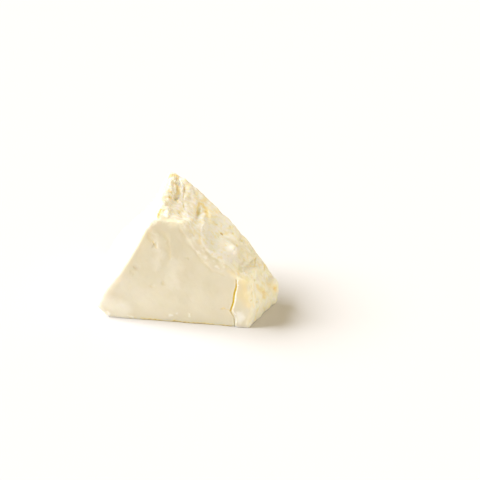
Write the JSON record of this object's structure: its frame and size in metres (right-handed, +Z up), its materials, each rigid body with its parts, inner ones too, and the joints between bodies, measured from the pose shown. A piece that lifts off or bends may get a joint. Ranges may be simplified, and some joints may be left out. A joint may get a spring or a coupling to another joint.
{
  "type": "cheese wedge",
  "caption": "Wedge of crumbly white brined cheese with flat knife cuts and one broken, crumbly side, for tables, counters and display.",
  "frame": {"origin": "middle of the bounding box's bottom, on the surface the wedge stands on", "axes": "+X along the long front cut towards the broken end, +Y from the front cut towards the back cut, +Z up"},
  "size_m": [0.12, 0.071, 0.0762],
  "materials": {
    "cheese": "soft, moist matt"
  },
  "bodies": {
    "root": {"feta_wedge": "cheese"}
  },
  "joints": []
}
